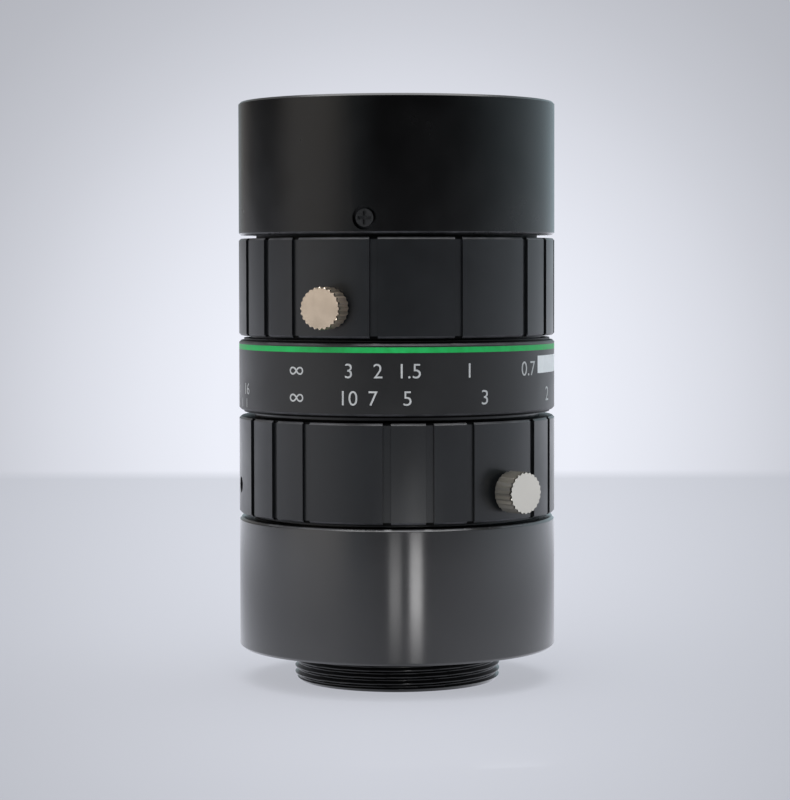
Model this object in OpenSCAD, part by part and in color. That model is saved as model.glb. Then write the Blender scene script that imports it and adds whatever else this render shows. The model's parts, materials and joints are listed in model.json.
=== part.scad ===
// C-mount machine vision lens. Millimetres. Z runs along the optical axis to the front,
// the mounting face is at z = 0 and -Y is the side seen from the front of the picture.

/* [Barrel] */
// Outer diameter of the barrels, the band and the rings
body_d = 39; // [38.6:0.2:42]
// Height of the rear barrel
rear_h = 16.1; // [15.7:0.1:18]
// Height of the iris ring
iris_ring_h = 11.9; // [11.5:0.1:13]
// Height of the fixed band
band_h = 8.5; // [8:0.1:10]
// Height of the focus ring
focus_ring_h = 11.85; // [11.5:0.05:13]
// Height of the front barrel
front_h = 16.3; // [16:0.1:18]
// Depth of the grip channels in the two rings
channel_deep = 0.35; // [0.2:0.05:0.45]

/* [Mount] */
// Diameter of the mounting thread
thread_d = 25.4; // [25.2:0.1:25.6]
// Length of the mounting thread
thread_len = 4.2; // [3.6:0.1:4.4]
// Wall of the front rim outside the filter thread
rim_wall = 2; // [1.8:0.1:2.4]

/* [Motion] */
// Forward travel of the lens barrel
focus_travel = 3; // [2:0.1:3.1]
// Turn of the iris ring in degrees
iris_turn = 60; // [45:1:60]
// Radius of the fully open aperture
open_r = 6; // [5.7:0.1:6.1]
// Radius of the smallest aperture
closed_r = 1.05; // [0.9:0.05:2]

/* [Lock screws] */
// Diameter of the knurled heads
lock_d = 5; // [4.6:0.1:5.4]
// Thickness of the knurled heads
lock_h = 2.85; // [2:0.05:3]

/* [Hidden] */
$fn = 96;
round_fn = 144;
small_fn = 32;
eps = 0.01;
edge = 0.25;
running = 0.03;
join = 0.1;
slide_fit = 0.05;
clear = 0.3;

// Radii from the outside in; the walls keep their share of the body
share = body_d / 39;
body_r = body_d / 2;
channel_r = body_r - channel_deep;
lip_r = body_r - 0.6 * share;
hub_r = body_r - 1.9 * share;
helix_r = body_r - 2.15 * share;
seat_r = body_r - 2.7 * share;
journal_r = body_r - 3.1 * share;
spigot_r = journal_r - 0.6 * share;
guide_r = journal_r - 1.9 * share;
barrel_r = guide_r - slide_fit;
chamber_r = barrel_r - 1.7 * share;
thread_r = thread_d / 2;
throat_r = thread_r - 1.8;
filter_r = body_r - rim_wall;

// Heights of the outside pieces
rear_seam = 0.5;
ring_groove = 0.85;
focus_seam = 0.6;
front_seam = 0.42;
iris_z0 = rear_h + rear_seam;
iris_z1 = iris_z0 + iris_ring_h;
band_z0 = iris_z1 + ring_groove;
band_z1 = band_z0 + band_h;
focus_z0 = band_z1 + focus_seam;
focus_z1 = focus_z0 + focus_ring_h;
front_z0 = focus_z1 + front_seam;
front_z1 = front_z0 + front_h;
lip_h = 0.28;

// Lock screws and grip channels, angles counted from the near side towards +X
lock_rise = 3.55;
lock_shank_r = 0.95;
lock_hole_r = lock_shank_r + running;
lock_neck_r = 1.5;
lock_face_r = body_r + 3.4;
lock_base_r = lock_face_r - lock_h;
lock_tip_r = journal_r + 0.1;
focus_lock_at = -23;
iris_lock_at = 41.6;
focus_channels = [for (k = [0:2]) for (g = [0, 15, 30, 60, 90]) -68 + g + 120 * k];
iris_channels = [for (k = [0:5]) for (g = [0, 15, 30]) -63.5 + g + 60 * k];
channel_half = 0.49;

// Front barrel screws
screw_at = -11.2;
screw_z = front_z0 + 1.83;
screw_head_r = 1.06;
screw_head_h = 0.8;
screw_well_r = 1.42;
screw_well = 1.0;
screw_shank_r = 0.6;
screw_tip_r = seat_r - 1.5 * share;

// Green line and white patch on the band
line_z0 = band_z0 + 7.42;
line_z1 = band_z0 + 8.07;
inlay = 0.12;
patch_z0 = band_z0 + 4.65;
patch_z1 = band_z0 + 6.75;
patch_from = 60.4;
patch_turn = 26;

// Rear barrel
flange_t = 3.6;
spigot_z0 = flange_t + 1.6;
pocket_r = spigot_r - 0.9 * share;

// Main barrel and focus ring retention
journal_z1 = focus_z0 + 4.5;
retainer_h = 0.8;
stub_r = journal_r - 0.7 * share;
retainer_z0 = journal_z1 + slide_fit;
retainer_z1 = retainer_z0 + retainer_h;
retainer_r = helix_r + slide_fit - clear;

// Guide pins
guide_at = 60;
guide_pin_r = 0.8;
guide_z = focus_z0 + 2.6;
guide_tip_r = barrel_r - 0.75;
guide_foot_r = journal_r - 0.1;
groove_deep = 0.95;
groove_z0 = guide_z - focus_travel - guide_pin_r - 0.05;
groove_z1 = guide_z + guide_pin_r + 0.05;

// Iris drive
drive_at = -138.5;
drive_z = iris_z1 - 1.7;
drive_r = 0.9;
dog_r = 0.55;
drive_out_r = channel_r - 0.15;
drive_in_r = journal_r + 0.12;
dog_tip_r = chamber_r - 0.75 * share;
window_half = dog_r + 0.1;
window_margin = 2.7;
wide_margin = 4.5;

// Iris stack, upwards: base plate, six blades, cam ring
blade_count = 6;
blade_t = 0.09;
blade_step = 0.15;
cam_t = 0.7;
cam_z0 = drive_z - focus_travel - 1.45;
cam_z1 = cam_z0 + cam_t;
blade_z0 = cam_z0 - blade_count * blade_step - 0.02;
base_t = 0.7;
base_z1 = blade_z0 - 0.06;
base_z0 = base_z1 - base_t;
iris_ring_t = 1.0;
chamber_z1 = drive_z + 1.5;
cam_r = chamber_r - slide_fit;
cam_sleeve_r = cam_r - 0.8 * share;
cam_hole_r = cam_r - 3.4 * share;
fork_half = dog_r + running;

// Blade shape: pivot pin, drive pin and crescent
pivot_r = chamber_r - 1.75 * share;
pivot_pin_r = 0.4;
drive_pin_r = 0.3;
slot_half = drive_pin_r + 0.04;
lug_r = 0.75;
arm = 3.2 * share;
drive_r0 = pivot_r - 0.58 * share;
blade_in = open_r + 0.12;
blade_out = pivot_r - 1.02 * share;
blade_mid = (blade_in + blade_out) / 2;
blade_from = -7;
blade_to = 84;
arm_turn = -acos((pow(drive_r0, 2) - pow(pivot_r, 2) - pow(arm, 2)) / (2 * pivot_r * arm));
blade_turn = 2 * asin((blade_in - closed_r) / (2 * pivot_r));
slot_steps = 28;

// Rear cell and its glass, counted down from the iris
ring_z0 = base_z0 - iris_ring_t;
cell_z1 = ring_z0 - 0.05;
cell_z0 = flange_t + 1.0;
cell_h = cell_z1 - cell_z0;
cell_bore = chamber_r - 3.1 * share;
cell_lip_in = cell_bore - 1.2 * share;
rear_pair_z1 = cell_z1 - 0.087 * cell_h;
rear_pair_mid = rear_pair_z1 - 0.24 * cell_h;
rear_pair_z0 = rear_pair_mid - 0.16 * cell_h;
rear_ring_z0 = cell_z0 + 0.047 * cell_h;
rear_glass_z0 = rear_ring_z0 + 0.073 * cell_h;
rear_glass_z1 = rear_glass_z0 + 0.173 * cell_h;

// Lens barrel and front glass
tail_z0 = spigot_z0 + 0.6;
helix_z0 = retainer_z1 + clear;
bulkhead_z1 = chamber_z1 + 2.6;
pair_r = chamber_r - 1.5 * share;
bulkhead_r = pair_r - 2 * share;
front_bore = seat_r - 2.2 * share;
seat_z = front_z1 - 4.8;
nose_z = seat_z - 1.3;
second_z0 = front_z0 - 2.4;
second_z1 = second_z0 + 3.8;
first_z1 = nose_z - 2.0;
first_z0 = first_z1 - 3.9;
pair_z0 = bulkhead_z1 + 3.0;
pair_mid = pair_z0 + 5.4;
pair_z1 = pair_mid + 5.6;
pair_ring_h = 1.2;
front_ring_z1 = nose_z - 0.3;

// Shared shapes

module black() {
  color([0.06, 0.06, 0.065]) children();
}

module steel() {
  color([0.72, 0.7, 0.67]) children();
}

module coated_glass() {
  color([0.45, 0.6, 0.7, 0.4]) children();
}

module turned(points) {
  rotate_extrude($fn = round_fn) polygon(points);
}

module tube(r_in, r_out, z0, z1) {
  turned([[r_in, z0], [r_out, z0], [r_out, z1], [r_in, z1]]);
}

// A child drawn along its own Z points outwards at an angle and a height
module outward(at, z) {
  rotate([0, 0, at]) translate([0, 0, z]) rotate([90, 0, 0]) children();
}

module radial_pin(at, z, r, r_from, r_to) {
  outward(at, z) translate([0, 0, r_from]) cylinder(r = r, h = r_to - r_from, $fn = small_fn);
}

// A block that follows the circle between two radii, two heights and two angles
module sector(at, turn, r_in, r_out, z0, z1) {
  rotate([0, 0, at - 90])
    rotate_extrude(angle = turn, $fn = round_fn)
      polygon([[r_in, z0], [r_out, z0], [r_out, z1], [r_in, z1]]);
}

module rim_profile(r_in, r_out, z0, z1) {
  turned([[r_in, z0], [r_out - edge, z0], [r_out, z0 + edge], [r_out, z1 - edge],
          [r_out - edge, z1], [r_in, z1]]);
}

// Flat-floored channels that run down the outside of a grip ring
module channels(angles, z0, z1) {
  for (at = angles)
    rotate([0, 0, at])
      translate([-channel_half, -body_r - 1, z0 - 1])
        cube([2 * channel_half, 1 + channel_deep, z1 - z0 + 2]);
}

// Knurled head, neck and shank of a lock screw, drawn outwards from the axis
module lock_screw(at, z) {
  teeth = 24;
  tooth = 0.2;
  head_r = lock_d / 2;
  rim = 0.08;
  outward(at, z) {
    intersection() {
      translate([0, 0, lock_base_r])
        linear_extrude(lock_h)
          polygon([for (i = [0:2 * teeth - 1])
                   let (r = head_r - (i % 2) * tooth, a = i * 180 / teeth)
                   [r * cos(a), r * sin(a)]]);
      rotate_extrude($fn = 64)
        polygon([[0, lock_base_r], [head_r - 2 * rim, lock_base_r],
                 [head_r + eps, lock_base_r + 2 * rim], [head_r + eps, lock_face_r - rim],
                 [head_r - rim, lock_face_r], [0, lock_face_r]]);
    }
    translate([0, 0, body_r + 0.1])
      cylinder(r = lock_neck_r, h = lock_base_r + join - body_r - 0.1, $fn = 48);
    translate([0, 0, lock_tip_r])
      cylinder(r = lock_shank_r, h = lock_base_r + join - lock_tip_r, $fn = small_fn);
  }
}

// Glass element: flat rims, and a dome or a dish inside each face
module element(r, z0, z1, top_bend, top_r, low_bend, low_r) {
  top_sag = abs(top_bend) - sqrt(pow(top_bend, 2) - pow(top_r, 2));
  low_sag = abs(low_bend) - sqrt(pow(low_bend, 2) - pow(low_r, 2));
  difference() {
    union() {
      translate([0, 0, z0]) cylinder(r = r, h = z1 - z0, $fn = round_fn);
      if (top_bend > 0)
        intersection() {
          translate([0, 0, z1 + top_sag - top_bend]) sphere(r = top_bend, $fn = round_fn);
          translate([0, 0, z1 - 0.5]) cylinder(r = top_r + 0.2, h = top_sag + 2);
        }
      if (low_bend > 0)
        intersection() {
          translate([0, 0, z0 - low_sag + low_bend]) sphere(r = low_bend, $fn = round_fn);
          translate([0, 0, z0 - low_sag - 1.5]) cylinder(r = low_r + 0.2, h = low_sag + 2);
        }
    }
    if (top_bend < 0)
      translate([0, 0, z1 - top_sag - top_bend]) sphere(r = -top_bend, $fn = round_fn);
    if (low_bend < 0)
      translate([0, 0, z0 + low_sag + low_bend]) sphere(r = -low_bend, $fn = round_fn);
  }
}

// Two notches for a spanner in the face of a retaining ring
module spanner_slots(r, z, deep) {
  slot_w = 1.2;
  translate([-r - 1, -slot_w / 2, z]) cube([2 * r + 2, slot_w, deep]);
}

// Fixed pieces

module rear_barrel() {
  black() turned([
    [throat_r, -thread_len], [thread_r - 0.45, -thread_len], [thread_r, -thread_len + 0.45],
    [thread_r, 0], [body_r - edge, 0], [body_r, edge], [body_r, rear_h - edge],
    [body_r - edge, rear_h], [spigot_r, rear_h], [spigot_r, spigot_z0], [pocket_r, spigot_z0],
    [pocket_r, flange_t], [throat_r + 0.4, flange_t], [throat_r, flange_t - 0.4]]);
}

module main_barrel() {
  black() difference() {
    turned([
      [guide_r, spigot_z0], [spigot_r, spigot_z0], [spigot_r, rear_h], [journal_r, rear_h],
      [journal_r, band_z0 - lip_h], [lip_r, band_z0 - lip_h], [lip_r, band_z0],
      [body_r - edge, band_z0], [body_r, band_z0 + edge], [body_r, band_z1 - edge],
      [body_r - edge, band_z1], [lip_r, band_z1], [lip_r, band_z1 + lip_h],
      [journal_r, band_z1 + lip_h], [journal_r, journal_z1], [stub_r, journal_z1],
      [stub_r, retainer_z1], [guide_r, retainer_z1]]);
    tube(body_r - inlay, body_r + 1, line_z0, line_z1);
    sector(patch_from, patch_turn, body_r - inlay, body_r + 1, patch_z0, patch_z1);
    sector(drive_at - window_margin, iris_turn + 2 * window_margin,
           guide_r - 1, journal_r + 1, drive_z - window_half, drive_z + window_half);
    for (k = [0:1])
      radial_pin(guide_at + 180 * k, guide_z, guide_pin_r, guide_r - 1, journal_r + 1);
  }
}

module green_line() {
  color([0.1, 0.62, 0.3]) tube(body_r - inlay, body_r, line_z0, line_z1);
}

module white_patch() {
  color([0.93, 0.94, 0.93])
    sector(patch_from, patch_turn, body_r - inlay, body_r, patch_z0, patch_z1);
}

module guide_pins() {
  steel() for (k = [0:1])
    radial_pin(guide_at + 180 * k, guide_z, guide_pin_r, guide_tip_r, guide_foot_r);
}

module focus_retaining_ring() {
  black() difference() {
    tube(stub_r, retainer_r, retainer_z0, retainer_z1);
    translate([-body_r, -0.6, retainer_z1 - 0.4]) cube([2 * body_r, 1.2, 1]);
  }
}

// Focus ring and its lock screw

module focus_ring() {
  black() difference() {
    union() {
      difference() {
        rim_profile(hub_r - 1, body_r, focus_z0, focus_z1);
        channels(focus_channels, focus_z0, focus_z1);
        translate([0, 0, focus_z0 - 1])
          cylinder(r = helix_r + slide_fit, h = focus_ring_h + 2, $fn = round_fn);
      }
      tube(journal_r + running, helix_r + 0.6, band_z1 + lip_h + slide_fit, journal_z1);
    }
    for (k = [0:2])
      radial_pin(focus_lock_at + 120 * k, focus_z0 + lock_rise, lock_hole_r,
                 journal_r - 1, body_r + 1);
  }
}

module focus_lock_screw() {
  steel() lock_screw(focus_lock_at, focus_z0 + lock_rise);
}

// Iris ring, its lock screw and its drive screw

module iris_ring() {
  black() difference() {
    union() {
      difference() {
        rim_profile(hub_r - 1, body_r, iris_z0, iris_z1);
        channels(iris_channels, iris_z0, iris_z1);
      }
      tube(journal_r + running, hub_r, rear_h + slide_fit, band_z0 - lip_h - slide_fit);
    }
    for (k = [0:2])
      radial_pin(iris_lock_at + 120 * k, iris_z0 + lock_rise, lock_hole_r,
                 journal_r - 1, body_r + 1);
    radial_pin(drive_at, drive_z, drive_r, journal_r - 1, body_r + 1);
  }
}

module iris_lock_screw() {
  steel() lock_screw(iris_lock_at, iris_z0 + lock_rise);
}

module iris_drive_screw() {
  steel() difference() {
    union() {
      radial_pin(drive_at, drive_z, drive_r, drive_in_r, drive_out_r);
      radial_pin(drive_at, drive_z, dog_r, dog_tip_r, drive_in_r + join);
    }
    outward(drive_at, drive_z)
      translate([-drive_r - 1, -0.15, drive_out_r - 0.45])
        cube([2 * drive_r + 2, 0.3, 1]);
  }
}

// Front barrel and its screws

module front_barrel() {
  lip_in = front_bore + 0.3 * share;
  black() difference() {
    turned([
      [seat_r, front_z0], [body_r - edge, front_z0], [body_r, front_z0 + edge],
      [body_r, front_z1 - edge], [body_r - edge, front_z1], [filter_r + 0.4, front_z1],
      [filter_r, front_z1 - 0.4], [filter_r, seat_z], [lip_in + 0.7, seat_z],
      [lip_in, seat_z - 0.7], [lip_in, nose_z], [seat_r, nose_z]]);
    for (k = [0:2]) {
      radial_pin(screw_at + 120 * k, screw_z, screw_well_r, body_r - screw_well, body_r + 1);
      radial_pin(screw_at + 120 * k, screw_z, screw_shank_r, seat_r - 1, body_r);
    }
  }
}

module front_barrel_screws() {
  cross_w = 0.36;
  cross_l = 1.5 * screw_head_r;
  head_z = body_r - screw_well + screw_head_h;
  color([0.1, 0.1, 0.1]) for (k = [0:2])
    difference() {
      union() {
        radial_pin(screw_at + 120 * k, screw_z, screw_head_r, body_r - screw_well, head_z);
        radial_pin(screw_at + 120 * k, screw_z, screw_shank_r, screw_tip_r,
                   body_r - screw_well + join);
      }
      outward(screw_at + 120 * k, screw_z)
        for (turn = [0, 90])
          rotate([0, 0, turn])
            translate([-cross_l / 2, -cross_w / 2, head_z - 0.4]) cube([cross_l, cross_w, 1]);
    }
}

// Lens barrel, front glass and spacers

module lens_barrel() {
  color([0.1, 0.1, 0.105]) difference() {
    turned([
      [chamber_r, tail_z0], [barrel_r, tail_z0], [barrel_r, helix_z0], [helix_r, helix_z0],
      [helix_r, front_z0], [seat_r, front_z0], [seat_r, nose_z], [front_bore, nose_z],
      [front_bore, second_z0], [pair_r, second_z0], [pair_r, bulkhead_z1],
      [bulkhead_r, bulkhead_z1], [bulkhead_r, chamber_z1], [chamber_r, chamber_z1]]);
    sector(drive_at - wide_margin, iris_turn + 2 * wide_margin, chamber_r - 1, barrel_r + 1,
           drive_z - focus_travel - window_half, drive_z + window_half);
    for (k = [0:1])
      rotate([0, 0, guide_at + 180 * k])
        translate([-guide_pin_r - running, -barrel_r - 1, groove_z0])
          cube([2 * guide_pin_r + 2 * running, 1 + groove_deep, groove_z1 - groove_z0]);
    for (k = [0:2])
      radial_pin(screw_at + 120 * k, screw_z, screw_shank_r, screw_tip_r, seat_r + 1);
  }
}

module front_retaining_ring() {
  black() difference() {
    turned([[front_bore - 0.7, first_z1], [front_bore, first_z1], [front_bore, front_ring_z1],
            [front_bore - 0.5, front_ring_z1], [front_bore - 0.7, front_ring_z1 - 0.5]]);
    spanner_slots(front_bore, front_ring_z1 - 0.6, 2);
  }
}

module front_element() {
  coated_glass() element(front_bore, first_z0, first_z1, 38 * share, front_bore - 0.9 * share,
                         -120 * share, front_bore - 1.8 * share);
}

module front_spacer() {
  black() tube(front_bore - 1.5 * share, front_bore, second_z1, first_z0);
}

module second_element() {
  coated_glass() element(front_bore, second_z0, second_z1, 30 * share, front_bore - 2.4 * share,
                         -24 * share, 0.65 * front_bore);
}

module pair_retaining_ring() {
  black() difference() {
    tube(pair_r - 0.8 * share, pair_r, pair_z1, pair_z1 + pair_ring_h);
    spanner_slots(pair_r, pair_z1 + pair_ring_h - 0.5, 1);
  }
}

module front_pair_outer() {
  coated_glass() element(pair_r, pair_mid, pair_z1, 20 * share, pair_r - share,
                         45 * share, pair_r - 0.4 * share);
}

module front_pair_inner() {
  coated_glass() element(pair_r, pair_z0, pair_mid, -45 * share, pair_r - 0.4 * share,
                         -14 * share, 0.71 * pair_r);
}

module pair_spacer() {
  black() tube(pair_r - 1.8 * share, pair_r, bulkhead_z1, pair_z0);
}

// Iris mechanism

function turn_point(p, a) = [p[0] * cos(a) - p[1] * sin(a), p[0] * sin(a) + p[1] * cos(a)];

// Drive pin of a blade that is turned by b about its pivot
function drive_point(b) =
  [pivot_r + arm * cos(arm_turn + b), arm * sin(arm_turn + b)];

// The same pin as the cam ring sees it, when the ring has turned by t
function slot_point(t) = turn_point(drive_point(blade_turn * t / iris_turn), -t);

function slot_normal(t) =
  let (a = slot_point(t - 0.2), b = slot_point(t + 0.2), d = b - a)
  [-d[1], d[0]] / norm(d);

module cam_slot() {
  ts = [for (i = [0:slot_steps]) i * iris_turn / slot_steps];
  polygon(concat([for (t = ts) slot_point(t) + slot_half * slot_normal(t)],
                 [for (i = [slot_steps:-1:0]) slot_point(ts[i]) - slot_half * slot_normal(ts[i])]));
  for (t = [0, iris_turn])
    translate(slot_point(t)) circle(r = slot_half, $fn = small_fn);
}

module iris_cam_ring() {
  color([0.16, 0.16, 0.17]) {
    translate([0, 0, cam_z0])
      linear_extrude(cam_t)
        difference() {
          circle(r = cam_r, $fn = round_fn);
          circle(r = cam_hole_r, $fn = round_fn);
          for (k = [0:blade_count - 1])
            rotate(k * 360 / blade_count) cam_slot();
        }
    difference() {
      tube(cam_sleeve_r, cam_r, cam_z1, chamber_z1 - 0.1);
      rotate([0, 0, drive_at])
        translate([-fork_half, -cam_r - 1, cam_z1 + 0.1])
          cube([2 * fork_half, 3, chamber_z1]);
    }
  }
}

// A bar with round ends between two points
module link(a, b, r) {
  d = b - a;
  translate(a) circle(r = r, $fn = small_fn);
  translate(b) circle(r = r, $fn = small_fn);
  translate(a) rotate(atan2(d[1], d[0])) translate([0, -r]) square([norm(d), 2 * r]);
}

module crescent() {
  wide = 2 * blade_out;
  difference() {
    circle(r = blade_out, $fn = round_fn);
    circle(r = blade_in, $fn = round_fn);
    rotate(blade_to) translate([-wide, 0]) square([2 * wide, wide]);
    rotate(blade_from) translate([-wide, -wide]) square([2 * wide, wide]);
  }
  rotate(blade_to) translate([blade_mid, 0])
    circle(r = (blade_out - blade_in) / 2, $fn = 48);
}

module iris_blade(k) {
  z = blade_z0 + k * blade_step;
  pivot = [pivot_r, 0];
  drive = drive_point(0);
  root = [blade_mid, 0];
  color([0.2, 0.2, 0.21]) rotate([0, 0, k * 360 / blade_count]) {
    translate([0, 0, z])
      linear_extrude(blade_t) {
        crescent();
        link(pivot, drive, lug_r);
        link(pivot, root, lug_r);
      }
    translate([pivot_r, 0, base_z0 + 0.05])
      cylinder(r = pivot_pin_r, h = z + blade_t / 2 - base_z0 - 0.05, $fn = small_fn);
    translate([drive[0], drive[1], z + blade_t / 2])
      cylinder(r = drive_pin_r, h = cam_z1 - 0.05 - z - blade_t / 2, $fn = small_fn);
  }
}

module iris_blade_1() { iris_blade(0); }
module iris_blade_2() { iris_blade(1); }
module iris_blade_3() { iris_blade(2); }
module iris_blade_4() { iris_blade(3); }
module iris_blade_5() { iris_blade(4); }
module iris_blade_6() { iris_blade(5); }

module iris_base_plate() {
  color([0.16, 0.16, 0.17]) difference() {
    tube(open_r, chamber_r, base_z0, base_z1);
    for (k = [0:blade_count - 1])
      rotate([0, 0, k * 360 / blade_count])
        translate([pivot_r, 0, base_z0 - 1])
          cylinder(r = pivot_pin_r + running, h = base_t + 2, $fn = small_fn);
  }
}

module iris_retaining_ring() {
  black() tube(chamber_r - 1.6 * share, chamber_r, ring_z0, base_z0);
}

// Rear cell and rear glass

module rear_cell() {
  black() turned([
    [cell_bore, cell_z0], [chamber_r - 0.4, cell_z0], [chamber_r, cell_z0 + 0.4],
    [chamber_r, cell_z1], [cell_lip_in, cell_z1], [cell_lip_in, rear_pair_z1],
    [cell_bore, rear_pair_z1]]);
}

module rear_pair_inner() {
  coated_glass() element(cell_bore, rear_pair_mid, rear_pair_z1, -16 * share, 0.7 * cell_bore,
                         -30 * share, cell_bore - 0.4 * share);
}

module rear_pair_outer() {
  coated_glass() element(cell_bore, rear_pair_z0, rear_pair_mid, 30 * share,
                         cell_bore - 0.4 * share, 40 * share, 0.85 * cell_bore);
}

module rear_spacer() {
  black() tube(cell_bore - 1.1 * share, cell_bore, rear_glass_z1, rear_pair_z0);
}

module rear_element() {
  coated_glass() element(cell_bore, rear_glass_z0, rear_glass_z1, 45 * share, 0.83 * cell_bore,
                         60 * share, 0.83 * cell_bore);
}

module rear_retaining_ring() {
  black() difference() {
    turned([[cell_bore - 1.2 * share, rear_glass_z0], [cell_bore - 0.9 * share, rear_ring_z0],
            [cell_bore, rear_ring_z0], [cell_bore, rear_glass_z0]]);
    spanner_slots(cell_bore, rear_ring_z0 - 1, 1.5);
  }
}

rear_barrel();
main_barrel();
green_line();
white_patch();
guide_pins();
focus_retaining_ring();
focus_ring();
focus_lock_screw();
iris_ring();
iris_drive_screw();
iris_lock_screw();
front_barrel();
front_barrel_screws();
lens_barrel();
front_retaining_ring();
front_element();
front_spacer();
second_element();
pair_retaining_ring();
front_pair_outer();
front_pair_inner();
pair_spacer();
iris_cam_ring();
iris_blade_1();
iris_blade_2();
iris_blade_3();
iris_blade_4();
iris_blade_5();
iris_blade_6();
iris_base_plate();
iris_retaining_ring();
rear_cell();
rear_pair_inner();
rear_pair_outer();
rear_spacer();
rear_element();
rear_retaining_ring();
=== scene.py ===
"""Looks of a C-mount machine vision lens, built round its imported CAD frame.

Metres. Z is the optical axis, z = 0 the mounting face, -Y the near side.
Angles round the barrel are in degrees, from the near side (0) towards +X (90).
"""
import json
import math
import bpy
import numpy as np
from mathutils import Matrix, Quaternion, Vector


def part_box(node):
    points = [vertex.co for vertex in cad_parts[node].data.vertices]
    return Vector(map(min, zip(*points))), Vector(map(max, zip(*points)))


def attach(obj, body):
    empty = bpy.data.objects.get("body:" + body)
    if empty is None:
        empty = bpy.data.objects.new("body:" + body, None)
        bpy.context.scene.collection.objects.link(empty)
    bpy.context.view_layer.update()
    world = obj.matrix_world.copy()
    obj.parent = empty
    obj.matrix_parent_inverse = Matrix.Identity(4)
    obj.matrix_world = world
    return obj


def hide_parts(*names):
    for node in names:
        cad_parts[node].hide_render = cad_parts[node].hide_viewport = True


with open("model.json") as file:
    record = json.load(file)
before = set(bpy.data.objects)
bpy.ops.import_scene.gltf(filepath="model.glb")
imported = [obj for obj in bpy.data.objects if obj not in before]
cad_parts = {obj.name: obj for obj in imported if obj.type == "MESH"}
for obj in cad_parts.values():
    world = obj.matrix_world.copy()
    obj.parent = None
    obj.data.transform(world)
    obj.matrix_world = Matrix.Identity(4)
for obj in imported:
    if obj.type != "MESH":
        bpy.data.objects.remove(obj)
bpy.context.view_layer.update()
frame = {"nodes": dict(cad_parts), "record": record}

MM = 0.001

# Sizes that the printed marks and the turned pieces share with the solids, in mm
BODY_R = 19.5
BAND_Z0 = 29.35
BAND_Z1 = 37.85
REAR_H = 16.1
THREAD_R = 12.7
THREAD_PITCH = 25.4 / 32
THREAD_DEPTH = 0.46
THREAD_LEN = 4.2
FILTER_R = 17.5
FILTER_PITCH = 0.5
FILTER_DEPTH = 4.8
FRONT_Z1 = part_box("front_barrel")[1].z / MM
SEAT_Z = FRONT_Z1 - FILTER_DEPTH


# ---------------------------------------------------------------- materials

class Nodes:
    """Short hand for the node tree of one material."""

    def __init__(self, name):
        self.mat = bpy.data.materials.new(name)
        self.mat.use_nodes = True
        self.tree = self.mat.node_tree
        self.bsdf = self.tree.nodes["Principled BSDF"]
        self.out = self.tree.nodes["Material Output"]
        self.place = self.add("ShaderNodeTexCoord").outputs["Object"]

    def add(self, kind, **values):
        node = self.tree.nodes.new(kind)
        for key, value in values.items():
            if hasattr(node, key):
                setattr(node, key, value)
            else:
                node.inputs[key].default_value = value
        return node

    def link(self, a, b):
        self.tree.links.new(a, b)

    def set(self, **values):
        for key, value in values.items():
            self.bsdf.inputs[key.replace("_", " ")].default_value = value

    def scaled(self, scale):
        """The place, stretched by a scale along each axis."""
        m = self.add("ShaderNodeMapping")
        m.inputs["Scale"].default_value = scale
        self.link(self.place, m.inputs["Vector"])
        return m.outputs["Vector"]

    def times(self, a, b):
        """The product of two outputs."""
        product = self.add("ShaderNodeMath", operation="MULTIPLY")
        self.link(a, product.inputs[0])
        self.link(b, product.inputs[1])
        return product.outputs[0]

    def mixed(self, share, a, b):
        """Colour a, with a share of colour b laid over it; b is an output or a plain colour."""
        mix = self.add("ShaderNodeMix", data_type="RGBA")
        self.link(share, mix.inputs[0])
        self.link(a, mix.inputs[6])
        if isinstance(b, tuple):
            mix.inputs[7].default_value = b
        else:
            self.link(b, mix.inputs[7])
        return mix.outputs[2]

    def noise(self, vector, scale, detail=2.0, rough=0.5):
        n = self.add("ShaderNodeTexNoise")
        n.inputs["Scale"].default_value = scale
        n.inputs["Detail"].default_value = detail
        n.inputs["Roughness"].default_value = rough
        self.link(vector, n.inputs["Vector"])
        return n.outputs["Fac"]

    def spread(self, fac, low, high, f0=0.3, f1=0.7):
        """Output low where fac is f0, high where it is f1, and even between them."""
        r = self.add("ShaderNodeMapRange")
        r.inputs["From Min"].default_value = f0
        r.inputs["From Max"].default_value = f1
        r.inputs["To Min"].default_value = low
        r.inputs["To Max"].default_value = high
        self.link(fac, r.inputs["Value"])
        return r.outputs["Result"]

    def ramp(self, fac, stops):
        """Colour from a list of (place, colour) stops."""
        r = self.add("ShaderNodeValToRGB")
        e = r.color_ramp.elements
        e[0].position, e[0].color = stops[0][0], (*stops[0][1], 1)
        e[1].position, e[1].color = stops[-1][0], (*stops[-1][1], 1)
        for pos, col in stops[1:-1]:
            e.new(pos).color = (*col, 1)
        self.link(fac, r.inputs["Fac"])
        return r.outputs["Color"]

    def bump(self, height, strength, distance, normal=None):
        b = self.add("ShaderNodeBump")
        b.inputs["Strength"].default_value = strength
        b.inputs["Distance"].default_value = distance
        self.link(height, b.inputs["Height"])
        if normal is not None:
            self.link(normal, b.inputs["Normal"])
        return b.outputs["Normal"]

    def radius(self):
        """Distance from the optical axis and the height, in metres."""
        s = self.add("ShaderNodeSeparateXYZ")
        self.link(self.place, s.inputs[0])
        c = self.add("ShaderNodeCombineXYZ")
        self.link(s.outputs["X"], c.inputs["X"])
        self.link(s.outputs["Y"], c.inputs["Y"])
        n = self.add("ShaderNodeVectorMath", operation="LENGTH")
        self.link(c.outputs[0], n.inputs[0])
        return n.outputs["Value"], s.outputs["Z"]


RIM_REACH = 0.25 * MM                                # how far the painted rim highlight and gap shade reach up and down
RIM_DEPTH = ((BODY_R - 0.32) * MM, (BODY_R - 0.2) * MM)    # radii from the painted gap shade to the painted bevel highlight, outwards
# colour of the painted highlight on the bevels, and of the painted shade in the gaps between parts
PAINTED_BEVEL_HIGHLIGHT = (0.06, 0.06, 0.064, 1)
PAINTED_GAP_SHADE = (0.0006, 0.0006, 0.0007, 1)


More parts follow.
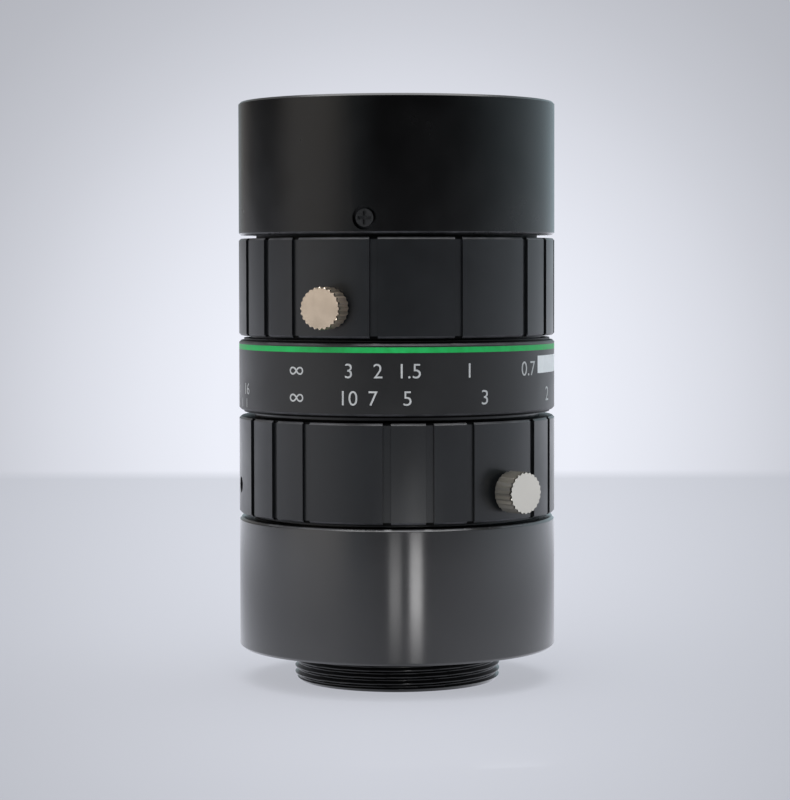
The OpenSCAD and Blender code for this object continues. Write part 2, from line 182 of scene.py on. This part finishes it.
def painted_rim_light(m, colour, gloss, rims):
    """At the ends of a turned piece: a painted highlight, in patches, on the small bevel, and
    painted shade, black with little gloss, in the gap behind it.

    Returns the colour and the gloss that go with them.
    """
    away, height = m.radius()
    total = None
    for z in rims:
        near = m.add("ShaderNodeMath", operation="COMPARE")
        m.link(height, near.inputs[0])
        near.inputs[1].default_value = z * MM
        near.inputs[2].default_value = RIM_REACH
        if total is None:
            total = near.outputs[0]
            continue
        both = m.add("ShaderNodeMath", operation="MAXIMUM")
        m.link(total, both.inputs[0])
        m.link(near.outputs[0], both.inputs[1])
        total = both.outputs[0]
    patch = m.spread(m.noise(m.place, 260, 3.0, 0.6), 0.25, 0.9, 0.35, 0.6)
    outside = m.spread(away, 0, 1, *RIM_DEPTH)
    # painted highlight on the bevel, in patches
    bevel_highlight = m.times(total, m.times(patch, outside))
    # painted shade in the gap, where the gloss is turned down too
    gap_shade = m.times(total, m.spread(outside, 1, 0, 0, 1))
    colour = m.mixed(gap_shade, m.mixed(bevel_highlight, colour, PAINTED_BEVEL_HIGHLIGHT), PAINTED_GAP_SHADE)
    return colour, m.spread(gap_shade, gloss, 0.05, 0, 1)


def anodised(name, tone, rough, spread, grain, speck=0.06, ior=1.5, warm=0.0, turned=0.0,
             rims=()):
    """Black anodised aluminium: fine bead-blast grain, faint turning lines and a cloudy gloss."""
    m = Nodes(name)
    fine = m.noise(m.place, 9000, 2.0, 0.6)
    cloud = m.noise(m.place, 160, 3.0, 0.55)
    lines = m.noise(m.scaled((40, 40, 5200)), 1.0, 2.0, 0.5)
    lo, hi = tone * (1 - speck * 4), tone * (1 + speck * 4)
    colour = m.ramp(m.spread(cloud, 0, 1, 0.35, 0.65),
                    [(0, (lo * (1 + warm), lo, lo * (1 - warm))),
                     (1, (hi * (1 + warm), hi, hi * (1 - warm)))])
    # the rims get a painted highlight on their bevels and painted shade in the gaps between parts
    if rims:
        colour, level = painted_rim_light(m, colour, 0.5, rims)
        m.link(level, m.bsdf.inputs["Specular IOR Level"])
    m.link(colour, m.bsdf.inputs["Base Color"])
    m.link(m.spread(cloud, rough - spread, rough + spread), m.bsdf.inputs["Roughness"])
    n = m.bump(fine, grain, 0.00001)
    m.link(m.bump(lines, grain * 0.35, 0.00001, n), m.bsdf.inputs["Normal"])
    m.set(Metallic=0.0, IOR=ior, Anisotropic=turned)
    if turned > 0:
        around = m.add("ShaderNodeTangent", direction_type="RADIAL", axis="Z")
        m.link(around.outputs[0], m.bsdf.inputs["Tangent"])
        m.bsdf.inputs["Anisotropic Rotation"].default_value = 0.25
    return m.mat


def enamel(name, dark, light, rough):
    """Paint that fills an engraved place: a little uneven in colour, with a soft gloss."""
    m = Nodes(name)
    cloud = m.noise(m.place, 700, 3.0, 0.6)
    fine = m.noise(m.place, 5200, 2.0, 0.5)
    m.link(m.ramp(m.spread(cloud, 0, 1), [(0, dark), (1, light)]), m.bsdf.inputs["Base Color"])
    m.link(m.spread(cloud, rough - 0.06, rough + 0.06), m.bsdf.inputs["Roughness"])
    m.link(m.bump(fine, 0.25, 0.00001), m.bsdf.inputs["Normal"])
    m.set(IOR=1.48)
    return m.mat


KNURL_R = (22.6 * MM, 22.8 * MM)    # from the screws' toothed sides to their faces


def steel(name, tone, rough, turned):
    """Bright steel with the fine marks of the lathe; toothed sides are duller than faces."""
    m = Nodes(name)
    cloud = m.noise(m.place, 420, 3.0, 0.5)
    fine = m.noise(m.place, 12000, 2.0, 0.6)
    dark = tuple(c * 0.94 for c in tone)
    m.link(m.ramp(m.spread(cloud, 0, 1), [(0, dark), (1, tone)]), m.bsdf.inputs["Base Color"])
    knurl = m.spread(m.radius()[0], 0.24, 0, *KNURL_R)
    matt = m.add("ShaderNodeMath", operation="ADD")
    m.link(m.spread(cloud, rough - 0.015, rough + 0.02), matt.inputs[0])
    m.link(knurl, matt.inputs[1])
    m.link(matt.outputs[0], m.bsdf.inputs["Roughness"])
    m.link(m.bump(fine, turned, 0.000008), m.bsdf.inputs["Normal"])
    m.set(Metallic=1.0)
    return m.mat


def iris_steel(name):
    """Matt black blades with a faint grey rub along their faces."""
    m = Nodes(name)
    rub = m.noise(m.place, 1100, 4.0, 0.6)
    m.link(m.ramp(m.spread(rub, 0, 1), [(0, (0.075, 0.075, 0.079)), (1, (0.12, 0.12, 0.126))]),
           m.bsdf.inputs["Base Color"])
    m.link(m.spread(rub, 0.5, 0.36), m.bsdf.inputs["Roughness"])
    m.set(Metallic=0.4)
    return m.mat


def coated(name):
    """Optical glass whose thin coats mirror little: green in front, then magenta, blue, amber."""
    m = Nodes(name)
    dust = m.noise(m.place, 2600, 3.0, 0.7)
    m.link(m.spread(dust, 0.0, 0.02, 0.55, 0.8), m.bsdf.inputs["Roughness"])
    m.set(Transmission_Weight=1.0, IOR=1.52, Base_Color=(0.95, 0.97, 0.98, 1))
    tint = m.ramp(m.spread(m.radius()[1], 0, 1, 5 * MM, 65 * MM),
                  [(0, (0.010, 0.030, 0.022)), (0.25, (0.030, 0.014, 0.045)),
                   (0.45, (0.038, 0.026, 0.010)), (0.62, (0.006, 0.014, 0.050)),
                   (0.80, (0.042, 0.006, 0.042)), (0.86, (0.004, 0.050, 0.022)),
                   (1, (0.004, 0.050, 0.022))])
    m.link(tint, m.bsdf.inputs["Specular Tint"])
    ray = m.add("ShaderNodeLightPath")
    clear = m.add("ShaderNodeBsdfTransparent")
    clear.inputs["Color"].default_value = (0.93, 0.95, 0.95, 1)
    lit = m.add("ShaderNodeMixShader")
    m.link(ray.outputs["Is Shadow Ray"], lit.inputs[0])
    m.link(m.bsdf.outputs[0], lit.inputs[1])
    m.link(clear.outputs[0], lit.inputs[2])
    m.link(lit.outputs[0], m.out.inputs["Surface"])
    return m.mat


FRONT_BLACK = anodised("front_anodised", 0.0010, 0.25, 0.03, 0.15, warm=0.04,
                       rims=(50.72,))
RING_BLACK = anodised("ring_anodised", 0.006, 0.34, 0.04, 0.2, warm=-0.14,
                      rims=(16.6, 28.5, 38.45, 50.3))
BAND_BLACK = anodised("band_anodised", 0.007, 0.42, 0.04, 0.22, rims=(29.35, 37.85))
REAR_BLACK = anodised("rear_anodised", 0.009, 0.22, 0.02, 0.04, ior=1.75, turned=0.85,
                      rims=(16.1,))
# darker copy of the rear barrel's black anodise for the mount thread: painted shade near the floor
THREAD_PAINTED_SHADE_BLACK = anodised("thread_anodised_painted_shade", 0.0015, 0.24, 0.03, 0.08)
INNER_BLACK = anodised("inner_anodised", 0.007, 0.6, 0.08, 0.4)
GREEN = enamel("green_enamel", (0.002, 0.32, 0.06), (0.006, 0.42, 0.09), 0.5)
WHITE = enamel("white_enamel", (0.74, 0.76, 0.75), (0.82, 0.84, 0.83), 0.5)
PRINT = enamel("silver_print", (0.40, 0.41, 0.41), (0.50, 0.51, 0.50), 0.5)
SCREW_STEEL = steel("screw_steel", (0.95, 0.80, 0.64), 0.17, 0.03)
IRIS_SCREW_STEEL = steel("iris_screw_steel", (0.46, 0.44, 0.39), 0.24, 0.03)
PIN_STEEL = steel("pin_steel", (0.5, 0.5, 0.5), 0.3, 0.2)
SCREW_BLACK = anodised("black_oxide", 0.012, 0.28, 0.05, 0.3, ior=1.6)
IRIS_BLACK = iris_steel("iris_black")
GLASS = coated("coated_glass")

FINISHES = {
    "front_anodised": FRONT_BLACK, "ring_anodised": RING_BLACK, "band_anodised": BAND_BLACK,
    "rear_anodised": REAR_BLACK, "inner_anodised": INNER_BLACK, "green_enamel": GREEN,
    "white_enamel": WHITE, "screw_steel": SCREW_STEEL, "pin_steel": PIN_STEEL,
    "black_screw": SCREW_BLACK, "iris_black": IRIS_BLACK, "coated_glass": GLASS,
}
SLOT_OF = {s["node"]: s["material_slot"] for s in frame["record"]["subparts"]}
for node, obj in frame["nodes"].items():
    finish = IRIS_SCREW_STEEL if node == "iris_lock_screw" else FINISHES[SLOT_OF[node]]
    if not obj.material_slots:
        obj.data.materials.append(finish)
    for place in obj.material_slots:
        place.material = finish


# ---------------------------------------------------------------- meshes

SHARP = math.radians(24)    # edges that turn more than this stay crisp


def make_piece(name, verts, faces, finish, body):
    """A mesh object from arrays of points in mm and of faces, riding on a body."""
    mesh = bpy.data.meshes.new(name)
    mesh.from_pydata((np.asarray(verts) * MM).tolist(), [], np.asarray(faces).tolist())
    mesh.validate()
    mesh.polygons.foreach_set("use_smooth", np.ones(len(mesh.polygons), bool))
    mesh.set_sharp_from_angle(angle=SHARP)
    mesh.materials.append(finish)
    obj = bpy.data.objects.new(name, mesh)
    bpy.context.scene.collection.objects.link(obj)
    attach(obj, body)
    return obj


def on_barrel(angle, r, z):
    """Points at an angle in degrees from the near side towards +X, a radius and a height."""
    a = np.radians(angle)
    return np.stack([r * np.sin(a), -r * np.cos(a), z + 0 * r * a], axis=-1)


def closed_grid(rows, cols):
    """Quads of a grid of points that closes on itself along its rows and its columns."""
    i, j = np.meshgrid(np.arange(rows), np.arange(cols), indexing="ij")
    i2, j2 = (i + 1) % rows, (j + 1) % cols
    return np.stack([i * cols + j, i * cols + j2, i2 * cols + j2, i2 * cols + j],
                    axis=-1).reshape(-1, 4)


def turned_solid(profile, count, helix):
    """Ring round the axis: each profile point (r, z) is carried round a full circle.

    The profile runs anticlockwise, seen with r to the right and z up, so faces point outwards.
    helix(angle, r, z) gives the radius of each point, as the thread changes it.
    """
    angle = np.arange(count) * 360 / count
    a, k = np.meshgrid(angle, np.arange(len(profile)), indexing="ij")
    z = profile[k, 1]
    pts = on_barrel(a, helix(a, profile[k, 0], z), z).reshape(-1, 3)
    return pts, closed_grid(count, len(profile))[:, ::-1]


def softened(corners, steps=3):
    """Profile of corners (r, z, size), each rounded over its size in mm by a small curve.

    A point of the curve is (1 - t)^2 * start + 2 t (1 - t) * corner + t^2 * end.
    """
    pts = []
    for i, (r, z, size) in enumerate(corners):
        p = np.array((r, z), float)
        before = np.array(corners[i - 1][:2], float) - p
        after = np.array(corners[(i + 1) % len(corners)][:2], float) - p
        start = p + before * min(size / np.linalg.norm(before), 0.45)
        end = p + after * min(size / np.linalg.norm(after), 0.45)
        for t in np.linspace(0, 1, steps + 1):
            pts.append((1 - t) ** 2 * start + 2 * t * (1 - t) * p + t ** 2 * end)
    return np.array(pts)


def thread_wave(phase):
    """Flat-topped thread: 1 on the crest, 0 at the root, straight flanks between."""
    saw = np.abs(2 * (phase % 1.0) - 1)
    return np.clip((saw - 0.12) / 0.72, 0, 1)


def rear_barrel():
    """Rear barrel as one turned surface; on the mount the radius follows a helix."""
    z_thread = np.linspace(-THREAD_LEN + 0.02, -0.5, 96)
    outside = [(THREAD_R, z) for z in z_thread]
    top = softened([(THREAD_R - THREAD_DEPTH, -0.42, 0.05), (THREAD_R - THREAD_DEPTH, 0, 0.03),
                    (BODY_R - 0.3, 0, 0.04), (BODY_R, 0.3, 0.06), (BODY_R, REAR_H - 0.3, 0.06),
                    (BODY_R - 0.3, REAR_H, 0.04), (15.8, REAR_H, 0.03), (15.8, 5.2, 0.02),
                    (14.9, 5.2, 0.02), (14.9, 3.6, 0.05), (11.3, 3.6, 0.05), (10.9, 3.2, 0.05),
                    (10.9, -THREAD_LEN, 0.06)])
    profile = np.vstack([outside, top])

    def helix(angle, r, z):
        on_thread = (np.abs(r - THREAD_R) < 1e-6) & (z < -0.49)
        wave = thread_wave(z / THREAD_PITCH - angle / 360)
        entry = np.clip((z + THREAD_LEN) / 0.55, 0, 1)
        runout = np.clip((-0.5 - z) / 0.35, 0, 1)
        root = THREAD_R - THREAD_DEPTH
        cut = root + THREAD_DEPTH * wave * runout
        bevelled = np.minimum(cut, root - 0.05 + (THREAD_DEPTH + 0.05) * entry)
        return np.where(on_thread, bevelled, r)

    pts, quads = turned_solid(profile, 288, helix)
    piece = make_piece("rear_barrel_turned", pts, quads, REAR_BLACK, "fixed_barrel")
    # the thread faces take the darker black: painted shade near the floor
    piece.data.materials.append(THREAD_PAINTED_SHADE_BLACK)
    centre_r = np.linalg.norm(pts[quads].mean(axis=1)[:, :2], axis=1)
    piece.data.polygons.foreach_set("material_index", (centre_r < 13.2).astype(np.int32))
    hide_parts("rear_barrel")


def filter_thread():
    """Ridges of the filter thread: a thin sleeve in the front rim whose inside is a helix."""
    z0, z1 = SEAT_Z + 0.5, FRONT_Z1 - 0.5
    z = np.linspace(z1, z0, 84)
    inner = [(FILTER_R - 0.24, h) for h in z]
    profile = np.array(inner + [(FILTER_R - 0.005, z0), (FILTER_R - 0.005, z1)])

    def helix(angle, r, z):
        on_thread = r < FILTER_R - 0.1
        wave = thread_wave(z / FILTER_PITCH - angle / 360)
        ends = np.clip((z - z0) / 0.4, 0, 1) * np.clip((z1 - z) / 0.4, 0, 1)
        return np.where(on_thread, FILTER_R - 0.01 - 0.23 * wave * ends, r)

    pts, quads = turned_solid(profile, 240, helix)
    make_piece("filter_thread_ridges", pts, quads, FRONT_BLACK, "lens_unit")


rear_barrel()
filter_thread()


# ---------------------------------------------------------------- printed marks

def print_mesh(text, height):
    """Flat outline of plain numbers in mm, centred on its own width, standing on zero."""
    curve = bpy.data.curves.new("print_" + text, "FONT")
    curve.body = text
    curve.size = height * 1.42
    curve.align_x = "CENTER"
    curve.resolution_u = 5
    curve.offset = -0.012
    holder = bpy.data.objects.new("print_holder", curve)
    bpy.context.scene.collection.objects.link(holder)
    bpy.context.view_layer.update()
    mesh = bpy.data.meshes.new_from_object(
        holder.evaluated_get(bpy.context.evaluated_depsgraph_get()))
    pts = np.empty(len(mesh.vertices) * 3)
    mesh.vertices.foreach_get("co", pts)
    faces = [tuple(p.vertices) for p in mesh.polygons]
    bpy.data.objects.remove(holder)
    bpy.data.meshes.remove(mesh)
    return pts.reshape(-1, 3)[:, :2], faces


def wrapped(flat, faces, at, z, r):
    """Flat print laid round the barrel: x becomes arc length, y the height; both skins and rim."""
    x, y = flat[:, 0], flat[:, 1]
    outer = on_barrel(at + np.degrees(x / r), r + 0 * x + 0.012, z + y)
    inner = on_barrel(at + np.degrees(x / r), r + 0 * x - 0.03, z + y)
    n = len(flat)
    edges = dict.fromkeys(e for f in faces for e in zip(f, f[1:] + f[:1]))
    border = [(a, b) for a, b in edges if (b, a) not in edges]
    all_faces = list(faces) + [tuple(i + n for i in f[::-1]) for f in faces]
    all_faces += [(b, a, a + n, b + n) for a, b in border]
    return np.vstack([outer, inner]), all_faces


def band_print():
    """Plain numbers and lines on the band: distance in two rows, aperture at the lower edge."""
    metres = [("∞", -37.5), ("3", -16.8), ("2", -6.5), ("1.5", 4.3), ("1", 26.0), ("0.7", 54.0)]
    feet = [("∞", -37.5), ("10", -17.1), ("7", -8.3), ("5", 3.7), ("3", 32.2), ("2", 69.1)]
    stops = [("2.8", -129.0), ("4", -106.5), ("5.6", -92.3), ("8", -81.6), ("16", -69.0)]
    ticks = [at for _, at in stops] + [-74.7]
    verts, faces = [], []

    def put(part):
        pts, fs = part
        start = sum(len(v) for v in verts)
        verts.append(pts)
        faces.extend(tuple(i + start for i in f) for f in fs)

    for row, z, h in ((metres, 33.8, 1.75), (feet, 30.6, 1.75), (stops, 31.4, 1.4)):
        for text, at in row:
            put(wrapped(*print_mesh(text, h), at, z, BODY_R))
    for at in ticks:
        line = np.array([[-0.07, 0], [0.07, 0], [0.07, 1.1], [-0.07, 1.1]])
        put(wrapped(line, [(0, 1, 2, 3)], at, BAND_Z0 + 0.45, BODY_R))
    mesh = bpy.data.meshes.new("band_print")
    mesh.from_pydata((np.vstack(verts) * MM).tolist(), [], faces)
    mesh.validate()
    mesh.materials.append(PRINT)
    obj = bpy.data.objects.new("band_print", mesh)
    bpy.context.scene.collection.objects.link(obj)
    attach(obj, "fixed_barrel")


band_print()


# ---------------------------------------------------------------- studio

EYE_Z = 46.65
EYE_BACK = 325.3
PITCH = 2.3
ROLL = -0.1
FOCAL_PX = 2624.0
CENTRE_X_PX = 396.8
CENTRE_Y_PX = 373.6
FRAME_W, FRAME_H = 790, 800
FLOOR_Z = -THREAD_LEN
GLOW_FROM, GLOW_SOFT = 321.0, 14.0    # where the floor turns into the background's glow
GLOW_DIP = math.radians(3.3)
GLOW_WIDE_PX = 600.0


def glow_reach(m, direction):
    """How far a direction lies from the middle of the pale glow: 0 there, 1 at its rim."""
    dot = m.add("ShaderNodeVectorMath", operation="DOT_PRODUCT")
    m.link(direction, dot.inputs[0])
    dot.inputs[1].default_value = (0, math.cos(GLOW_DIP), -math.sin(GLOW_DIP))
    level = m.add("ShaderNodeMath", operation="MAXIMUM")
    m.link(dot.outputs["Value"], level.inputs[0])
    level.inputs[1].default_value = 0.05
    angle = m.add("ShaderNodeMath", operation="ARCCOSINE")
    m.link(level.outputs[0], angle.inputs[0])
    tangent = m.add("ShaderNodeMath", operation="TANGENT")
    m.link(angle.outputs[0], tangent.inputs[0])
    share = m.add("ShaderNodeMath", operation="MULTIPLY", use_clamp=True)
    m.link(tangent.outputs[0], share.inputs[0])
    share.inputs[1].default_value = FOCAL_PX / GLOW_WIDE_PX
    return share.outputs[0]


def pale(level):
    """Lavender white of the studio paper at a level of brightness."""
    return (level, level * 1.025, level * 1.12)


FAR_TONES = [(0.0, pale(0.86)), (0.30, pale(0.85)), (0.42, pale(0.785)), (0.56, pale(0.69)),
             (0.66, pale(0.61)), (0.76, pale(0.545)), (0.88, pale(0.485)), (1.0, pale(0.45))]
NEAR_TONES = [(0.0, pale(0.68)), (0.38, pale(0.60)), (0.57, pale(0.54)), (0.68, pale(0.505)),
              (0.80, pale(0.47)), (1.0, pale(0.42))]


NEAR_GLOW = 0.75                         # how much of the near floor's tone is its own glow
FLOOR_FRONT, FLOOR_SIDE = 0.82, 1.85     # mirrored floor in front of the lens and beside it


def mirrored_level(m, x, y):
    """Brightness of the floor in mirrored rays: more at both sides, fading off far in front.

    side = |x| / distance from the axis; reach = distance from the axis - y.
    """
    flat = m.add("ShaderNodeCombineXYZ")
    m.link(x, flat.inputs["X"])
    m.link(y, flat.inputs["Y"])
    far = m.add("ShaderNodeVectorMath", operation="LENGTH")
    m.link(flat.outputs[0], far.inputs[0])
    way = m.add("ShaderNodeVectorMath", operation="NORMALIZE")
    m.link(flat.outputs[0], way.inputs[0])
    parts = m.add("ShaderNodeSeparateXYZ")
    m.link(way.outputs[0], parts.inputs[0])
    side = m.add("ShaderNodeMath", operation="ABSOLUTE")
    m.link(parts.outputs["X"], side.inputs[0])
    wide = m.spread(side.outputs[0], FLOOR_FRONT, FLOOR_SIDE, 0, 1)
    farther = m.spread(far.outputs["Value"], 1.0, 2.3, 0.15, 0.30)
    reach = m.add("ShaderNodeMath", operation="MULTIPLY_ADD")
    m.link(y, reach.inputs[0])
    reach.inputs[1].default_value = -1.0
    m.link(far.outputs["Value"], reach.inputs[2])
    fade = m.spread(reach.outputs[0], 1.0, 0.04, 0.75, 1.2)
    return m.times(m.times(wide, fade), farther)


def paper():
    """Matt floor paper: near the lens a plain tone, far behind it the glow of the background."""
    m = Nodes("studio_paper")
    sep = m.add("ShaderNodeSeparateXYZ")
    m.link(m.place, sep.inputs[0])
    away = m.add("ShaderNodeVectorMath", operation="SUBTRACT")
    m.link(m.place, away.inputs[0])
    away.inputs[1].default_value = (0, -EYE_BACK * MM, EYE_Z * MM)
    way = m.add("ShaderNodeVectorMath", operation="NORMALIZE")
    m.link(away.outputs[0], way.inputs[0])
    reach = glow_reach(m, way.outputs[0])
    far, near = m.ramp(reach, FAR_TONES), m.ramp(reach, NEAR_TONES)
    behind = m.spread(sep.outputs["Y"], 0, 1, (GLOW_FROM - GLOW_SOFT) * MM,
                      (GLOW_FROM + GLOW_SOFT) * MM)
    colour = m.mixed(behind, near, far)
    m.link(colour, m.bsdf.inputs["Base Color"])
    m.set(Roughness=0.9)
    ray = m.add("ShaderNodeLightPath")
    seen = m.add("ShaderNodeMath", operation="MAXIMUM")
    m.link(ray.outputs["Is Glossy Ray"], seen.inputs[0])
    m.link(ray.outputs["Is Transmission Ray"], seen.inputs[1])
    plain = m.spread(behind, NEAR_GLOW, 1.0, 0, 1)
    part = m.add("ShaderNodeMath", operation="MULTIPLY_ADD", use_clamp=True)
    m.link(ray.outputs["Is Camera Ray"], part.inputs[0])
    m.link(plain, part.inputs[1])
    m.link(seen.outputs[0], part.inputs[2])
    mirrored = mirrored_level(m, sep.outputs["X"], sep.outputs["Y"])
    level = m.add("ShaderNodeMix", data_type="FLOAT")
    m.link(ray.outputs["Is Glossy Ray"], level.inputs[0])
    level.inputs[2].default_value = 1.0
    m.link(mirrored, level.inputs[3])
    glowing = m.add("ShaderNodeEmission")
    m.link(colour, glowing.inputs["Color"])
    m.link(level.outputs[0], glowing.inputs["Strength"])
    mixed = m.add("ShaderNodeMixShader")
    m.link(part.outputs[0], mixed.inputs[0])
    m.link(m.bsdf.outputs[0], mixed.inputs[1])
    m.link(glowing.outputs[0], mixed.inputs[2])
    m.link(mixed.outputs[0], m.out.inputs["Surface"])
    return m.mat


def floor():
    """Flat floor paper under the mounting thread."""
    half = 6000.0
    pts = np.array([[-half, -half, FLOOR_Z], [half, -half, FLOOR_Z],
                    [half, half, FLOOR_Z], [-half, half, FLOOR_Z]])
    mesh = bpy.data.meshes.new("floor_paper")
    mesh.from_pydata((pts * MM).tolist(), [], [(0, 1, 2, 3)])
    mesh.materials.append(paper())
    obj = bpy.data.objects.new("floor_paper", mesh)
    bpy.context.scene.collection.objects.link(obj)


WARM, COOL = (1.0, 0.945, 0.88), (0.80, 0.99, 1.08)
ROOM_LEVELS = [  # angle round the lens from the camera side towards +X, level, tint
    (-180, 0.70, COOL), (-150, 0.30, WARM), (-130, 0.10, WARM), (-112, 0.03, WARM),
    (-98, 0.08, WARM), (-88, 0.40, WARM), (-78, 0.80, WARM), (-56, 0.92, WARM),
    (-46, 0.76, WARM), (-30, 0.17, COOL), (-14, 0.004, COOL), (20, 0.003, COOL),
    (45, 0.03, COOL), (60, 0.16, COOL), (85, 0.46, COOL), (116, 0.72, COOL),
    (150, 0.75, COOL), (180, 0.70, COOL)]


CEILING = (0.85, 0.87, 0.92, 1)


class RoomNodes(Nodes):
    """The same short hand for the node tree of the surroundings."""

    def __init__(self, world):
        world.use_nodes = True
        self.tree = world.node_tree
        self.place = self.add("ShaderNodeTexCoord").outputs["Generated"]


def surroundings():
    """Dark behind the camera, soft panels to both sides, a bright ceiling and a pale background."""
    world = bpy.data.worlds.new("studio")
    m = RoomNodes(world)
    back = m.tree.nodes["Background"]
    sep = m.add("ShaderNodeSeparateXYZ")
    m.link(m.place, sep.inputs[0])
    toward = m.add("ShaderNodeMath", operation="MULTIPLY")
    m.link(sep.outputs["Y"], toward.inputs[0])
    toward.inputs[1].default_value = -1.0
    turn = m.add("ShaderNodeMath", operation="ARCTAN2")
    m.link(sep.outputs["X"], turn.inputs[0])
    m.link(toward.outputs[0], turn.inputs[1])
    around = m.spread(turn.outputs[0], 0, 1, -math.pi, math.pi)
    walls = m.ramp(around, [((a + 180) / 360, tuple(v * c for c in tint))
                            for a, v, tint in ROOM_LEVELS])
    lit = m.mixed(m.spread(sep.outputs["Z"], 0, 1, 0.45, 0.85), walls, CEILING)
    pale_back = m.ramp(glow_reach(m, m.place), FAR_TONES)
    ray = m.add("ShaderNodeLightPath")
    m.link(m.mixed(ray.outputs["Is Camera Ray"], lit, pale_back), back.inputs["Color"])
    back.inputs["Strength"].default_value = 1.0
    bpy.context.scene.world = world


def softbox(name, place, aim, size, power, mirrored=True, spread_light=True):
    """Soft lamp at a place in mm, aimed at another; its size in metres, its power in watts."""
    lamp = bpy.data.lights.new(name, "AREA")
    lamp.shape = "RECTANGLE"
    lamp.size, lamp.size_y = size
    lamp.energy = power
    obj = bpy.data.objects.new(name, lamp)
    obj.location = [c * MM for c in place]
    look = Vector([a - b for a, b in zip(aim, place)])
    obj.rotation_euler = look.to_track_quat("-Z", "Y").to_euler()
    obj.visible_camera = False
    obj.visible_glossy = mirrored
    obj.visible_diffuse = spread_light
    bpy.context.scene.collection.objects.link(obj)
    return obj


def camera():
    """The eye that the photograph was fitted with."""
    data = bpy.data.cameras.new("photo_camera")
    data.sensor_width = 36.0
    data.lens = 36.0 * FOCAL_PX / FRAME_H
    data.shift_x = (FRAME_W / 2 - CENTRE_X_PX) / FRAME_H
    data.shift_y = (CENTRE_Y_PX - FRAME_H / 2) / FRAME_H
    obj = bpy.data.objects.new("photo_camera", data)
    obj.location = (0, -EYE_BACK * MM, EYE_Z * MM)
    look = Vector((0, math.cos(math.radians(PITCH)), -math.sin(math.radians(PITCH))))
    turn = look.to_track_quat("-Z", "Y") @ Quaternion((0, 0, 1), math.radians(ROLL))
    obj.rotation_euler = turn.to_euler()
    bpy.context.scene.collection.objects.link(obj)
    bpy.context.scene.camera = obj


floor()
surroundings()
softbox("top_box", (-60, -420, 480), (0, 0, 35), (0.5, 0.5), 2.4, mirrored=False)
softbox("overhead_box", (0, 60, 620), (0, 0, 35), (0.6, 0.5), 3.2)
softbox("low_card", (12.0, -60, 5), (4, -19, 6), (0.0075, 0.019), 0.0026, spread_light=False)
softbox("small_card", (-1.2, -60, 5), (0, -19, 6), (0.007, 0.019), 0.0009, spread_light=False)
camera()
bpy.context.scene.view_settings.view_transform = "Standard"
